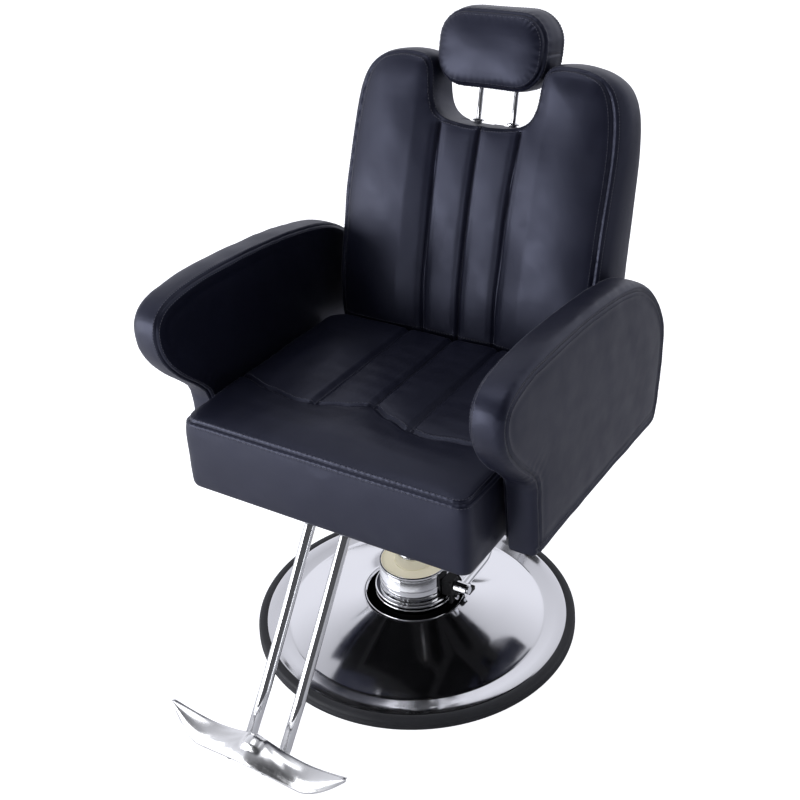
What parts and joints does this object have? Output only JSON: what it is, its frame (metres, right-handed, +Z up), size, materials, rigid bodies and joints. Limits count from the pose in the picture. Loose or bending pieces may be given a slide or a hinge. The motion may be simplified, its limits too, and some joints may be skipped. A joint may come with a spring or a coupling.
{
  "type": "hydraulic barber chair",
  "caption": "Salon chair with a padded seat, side arms and channelled back on a hydraulic pump and round chromed base, with a footrest and a sliding headrest.",
  "frame": {"origin": "on the floor at the centre of the round base, on the pump's axis", "axes": "+Z up along the pump's axis, -Y towards the front of the chair (the way the sitter faces), +X towards the sitter's left-hand arm"},
  "size_m": [0.688, 0.9352, 1.0568],
  "materials": {
    "chrome": "mirror chrome plate",
    "black_rubber": "matt moulded rubber",
    "cast_iron": "black painted casting",
    "ivory_plastic": "satin ivory moulding",
    "brass": "machined",
    "zinc_steel": "zinc plated",
    "black_steel": "black powder coat",
    "black_plastic": "moulded",
    "black_board": "plywood under a black dust cover",
    "polished_aluminium": "cast and polished",
    "navy_vinyl": "soft satin faux leather, black navy"
  },
  "bodies": {
    "base": {"rubber_rim": "black_rubber", "base_dish": "chrome", "base_core": "cast_iron"},
    "pump": {"pump_housing": "chrome", "pump_collar": "chrome", "pump_cap": "ivory_plastic", "pump_cylinder": "chrome", "ram_gland": "brass", "wiper_seal": "black_rubber", "pedal_bracket": "black_steel", "pedal_pivot_screw": "zinc_steel", "bracket_screw": "zinc_steel"},
    "pedal": {"pedal_arm": "chrome", "pedal_pad": "black_rubber"},
    "plunger": {"pump_plunger": "zinc_steel"},
    "seat": {"ram": "chrome", "ram_socket": "black_steel", "mounting_plate": "black_steel", "mount_bolt_1": "zinc_steel", "mount_bolt_2": "zinc_steel", "mount_bolt_3": "zinc_steel", "mount_bolt_4": "zinc_steel", "seat_frame": "black_steel", "seat_board": "black_board", "seat_cushion": "navy_vinyl", "arm_left": "navy_vinyl", "arm_right": "navy_vinyl", "arm_angle_left": "black_steel", "arm_angle_right": "black_steel", "arm_bolt_left": "zinc_steel", "arm_bolt_right": "zinc_steel", "footrest_tube_left": "chrome", "footrest_tube_right": "chrome", "footrest_saddle": "black_steel", "footplate": "polished_aluminium", "foot_nub_left": "black_rubber", "foot_nub_right": "black_rubber", "hinge_bracket_left": "black_steel", "hinge_bracket_right": "black_steel", "hinge_pin_left": "zinc_steel", "hinge_pin_right": "zinc_steel", "gas_clevis": "black_steel", "gas_clevis_pin": "zinc_steel", "lever_hanger": "black_steel"},
    "lever": {"release_lever": "zinc_steel", "lever_grip": "black_plastic"},
    "gas_barrel": {"gas_cylinder": "black_steel"},
    "gas_shaft": {"gas_rod": "chrome"},
    "release": {"release_pin": "zinc_steel"},
    "back": {"back_cushion": "navy_vinyl", "back_panel": "navy_vinyl", "back_arm_left": "black_steel", "back_arm_right": "black_steel", "gas_lug": "black_steel", "rod_end_pin": "zinc_steel", "post_guide_left": "chrome", "post_guide_right": "chrome"},
    "headrest": {"headrest_cushion": "navy_vinyl", "headrest_post_left": "chrome", "headrest_post_right": "chrome"}
  },
  "joints": [
    {"name": "pump_swivel", "type": "hinge", "parent": "base", "child": "pump", "pos_m": [0, 0, 0.06], "axis": [0, 0, 1], "continuous": true},
    {"name": "pedal_press", "type": "hinge", "parent": "pump", "child": "pedal", "pos_m": [0.1, 0, 0.104], "axis": [-1, 0, 0], "range_deg": [-8, 14]},
    {"name": "plunger_stroke", "type": "slide", "parent": "pump", "child": "plunger", "axis": [0, 0, -1], "range_m": [-0.0034, 0.006]},
    {"name": "seat_lift", "type": "slide", "parent": "pump", "child": "seat", "axis": [0, 0, 1], "range_m": [0, 0.15]},
    {"name": "release_lever_lift", "type": "hinge", "parent": "seat", "child": "lever", "pos_m": [-0.125, -0.0645, 0.333], "axis": [1, 0, 0], "range_deg": [0, 15]},
    {"name": "back_recline", "type": "hinge", "parent": "seat", "child": "back", "pos_m": [0, 0.27466, 0.42491], "axis": [-1, 0, 0], "range_deg": [0, 35]},
    {"name": "gas_swing", "type": "hinge", "parent": "seat", "child": "gas_barrel", "pos_m": [-0.125, -0.03, 0.312], "axis": [1, 0, 0], "range_deg": [0, 1.5]},
    {"name": "gas_stroke", "type": "slide", "parent": "gas_barrel", "child": "gas_shaft", "axis": [0, 0.9854, 0.17], "range_m": [-0.037, 0]},
    {"name": "release_pin_push", "type": "slide", "parent": "gas_barrel", "child": "release", "axis": [0, 0.9854, 0.17], "range_m": [0, 0.0065]},
    {"name": "headrest_height", "type": "slide", "parent": "back", "child": "headrest", "axis": [0, 0.2497, 0.9683], "range_m": [0, 0.055]}
  ],
  "couplings": [
    {"joint": "plunger_stroke", "follows": "pedal_press", "m_per_rad": 0.024},
    {"joint": "gas_swing", "follows": "back_recline", "ratio": 0.0235},
    {"joint": "gas_stroke", "follows": "back_recline", "m_per_rad": -0.05811},
    {"joint": "release_pin_push", "follows": "release_lever_lift", "m_per_rad": 0.024}
  ]
}
